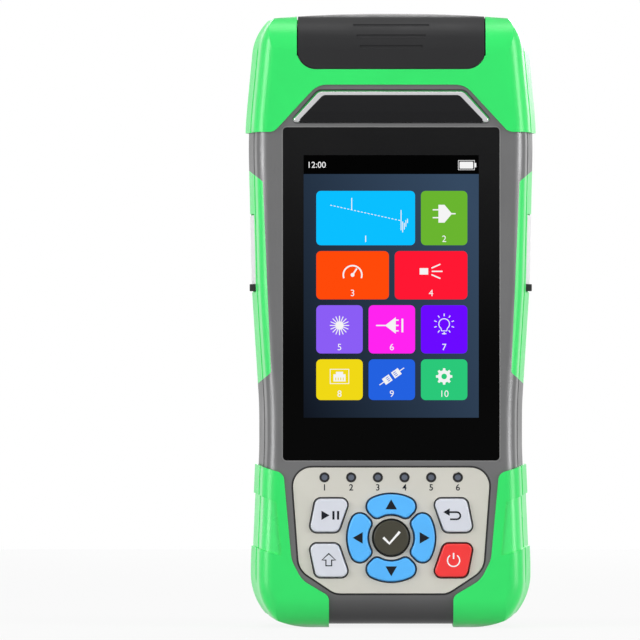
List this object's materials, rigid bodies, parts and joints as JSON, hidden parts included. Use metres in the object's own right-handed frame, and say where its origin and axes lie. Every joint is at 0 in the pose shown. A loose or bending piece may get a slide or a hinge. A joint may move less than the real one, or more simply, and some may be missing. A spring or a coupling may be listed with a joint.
{
  "type": "optical time domain reflectometer",
  "caption": "Handheld fibre tester: waisted two-shell housing in rubber bumpers, portrait display, keypad, hinged cover over optical ports, side flaps and rear stand.",
  "frame": {"origin": "bottom centre of the rubber feet, in the middle of the width and depth", "axes": "+Z along the length towards the port cover, -Y out of the display, +X to the right as the user looks at the display"},
  "size_m": [0.0818, 0.044, 0.172],
  "materials": {
    "front_shell": "satin gray moulding",
    "rear_shell": "satin gray moulding",
    "top_bumper": "satin green elastomer",
    "left_lower_bumper": "satin green elastomer",
    "right_lower_bumper": "satin green elastomer",
    "left_side_grip": "satin green elastomer",
    "right_side_grip": "satin green elastomer",
    "nameplate": "gloss black with a bright bevel",
    "display_lens": "gloss",
    "display_module": "bare",
    "keypad_panel": "matt beige gray",
    "status_lamps": "smoked clear",
    "key_mat": "matt",
    "dome_switches": "plain",
    "key_centre": "matt olive black",
    "key_up": "satin blue",
    "key_left": "satin blue",
    "key_down": "satin blue",
    "key_right": "satin blue",
    "key_run": "satin pale gray",
    "key_back": "satin pale gray",
    "key_shift": "satin pale gray",
    "key_power": "satin red",
    "main_board": "solder mask",
    "optical_engine": "bare",
    "battery_pack": "shrink film",
    "trace_port": "nickel plated",
    "fault_light_port": "nickel plated",
    "power_meter_port": "nickel plated",
    "torch_lens": "clear",
    "port_cover": "satin charcoal",
    "hinge_pin": "plain",
    "right_flap": "matt gray",
    "left_flap": "matt gray",
    "right_pull_tab": "matt black",
    "left_pull_tab": "matt black",
    "network_jack": "plain black",
    "charging_socket": "plated",
    "battery_door": "satin gray moulding",
    "door_screws": "blackened",
    "stand": "satin charcoal",
    "stand_pin": "plain",
    "case_screws": "blackened"
  },
  "bodies": {
    "housing": {"front_shell": "front_shell", "rear_shell": "rear_shell", "top_bumper": "top_bumper", "left_lower_bumper": "left_lower_bumper", "right_lower_bumper": "right_lower_bumper", "left_side_grip": "left_side_grip", "right_side_grip": "right_side_grip", "nameplate": "nameplate", "display_lens": "display_lens", "display_module": "display_module", "keypad_panel": "keypad_panel", "status_lamps": "status_lamps", "key_mat": "key_mat", "dome_switches": "dome_switches", "main_board": "main_board", "optical_engine": "optical_engine", "battery_pack": "battery_pack", "trace_port": "trace_port", "fault_light_port": "fault_light_port", "power_meter_port": "power_meter_port", "torch_lens": "torch_lens", "hinge_pin": "hinge_pin", "network_jack": "network_jack", "charging_socket": "charging_socket", "battery_door": "battery_door", "door_screws": "door_screws", "stand_pin": "stand_pin", "case_screws": "case_screws"},
    "key_centre": {"key_centre": "key_centre"},
    "key_up": {"key_up": "key_up"},
    "key_left": {"key_left": "key_left"},
    "key_down": {"key_down": "key_down"},
    "key_right": {"key_right": "key_right"},
    "key_run": {"key_run": "key_run"},
    "key_back": {"key_back": "key_back"},
    "key_shift": {"key_shift": "key_shift"},
    "key_power": {"key_power": "key_power"},
    "cover": {"port_cover": "port_cover"},
    "right_port_flap": {"right_flap": "right_flap", "right_pull_tab": "right_pull_tab"},
    "left_port_flap": {"left_flap": "left_flap", "left_pull_tab": "left_pull_tab"},
    "rear_stand": {"stand": "stand"}
  },
  "joints": [
    {"name": "key_centre_press", "type": "slide", "parent": "housing", "child": "key_centre", "axis": [0, 1, 0], "range_m": [0, 0.0008], "stiffness_N_per_m": 500},
    {"name": "key_up_press", "type": "slide", "parent": "housing", "child": "key_up", "axis": [0, 1, 0], "range_m": [0, 0.0008], "stiffness_N_per_m": 500},
    {"name": "key_left_press", "type": "slide", "parent": "housing", "child": "key_left", "axis": [0, 1, 0], "range_m": [0, 0.0008], "stiffness_N_per_m": 500},
    {"name": "key_down_press", "type": "slide", "parent": "housing", "child": "key_down", "axis": [0, 1, 0], "range_m": [0, 0.0008], "stiffness_N_per_m": 500},
    {"name": "key_right_press", "type": "slide", "parent": "housing", "child": "key_right", "axis": [0, 1, 0], "range_m": [0, 0.0008], "stiffness_N_per_m": 500},
    {"name": "key_run_press", "type": "slide", "parent": "housing", "child": "key_run", "axis": [0, 1, 0], "range_m": [0, 0.0008], "stiffness_N_per_m": 500},
    {"name": "key_back_press", "type": "slide", "parent": "housing", "child": "key_back", "axis": [0, 1, 0], "range_m": [0, 0.0008], "stiffness_N_per_m": 500},
    {"name": "key_shift_press", "type": "slide", "parent": "housing", "child": "key_shift", "axis": [0, 1, 0], "range_m": [0, 0.0008], "stiffness_N_per_m": 500},
    {"name": "key_power_press", "type": "slide", "parent": "housing", "child": "key_power", "axis": [0, 1, 0], "range_m": [0, 0.0008], "stiffness_N_per_m": 500},
    {"name": "cover_hinge", "type": "hinge", "parent": "housing", "child": "cover", "pos_m": [0, 0.012, 0.1686], "axis": [-1, 0, 0], "range_deg": [0, 95]},
    {"name": "right_flap_bend", "type": "hinge", "parent": "housing", "child": "right_port_flap", "pos_m": [0.0387, 0, 0.1145], "axis": [0, -1, 0], "range_deg": [0, 90], "stiffness_Nm_per_rad": 0.002},
    {"name": "left_flap_bend", "type": "hinge", "parent": "housing", "child": "left_port_flap", "pos_m": [-0.0387, 0, 0.1145], "axis": [0, 1, 0], "range_deg": [0, 90], "stiffness_Nm_per_rad": 0.002},
    {"name": "stand_hinge", "type": "hinge", "parent": "housing", "child": "rear_stand", "pos_m": [0, 0.0198, 0.1328], "axis": [1, 0, 0], "range_deg": [0, 45]}
  ]
}
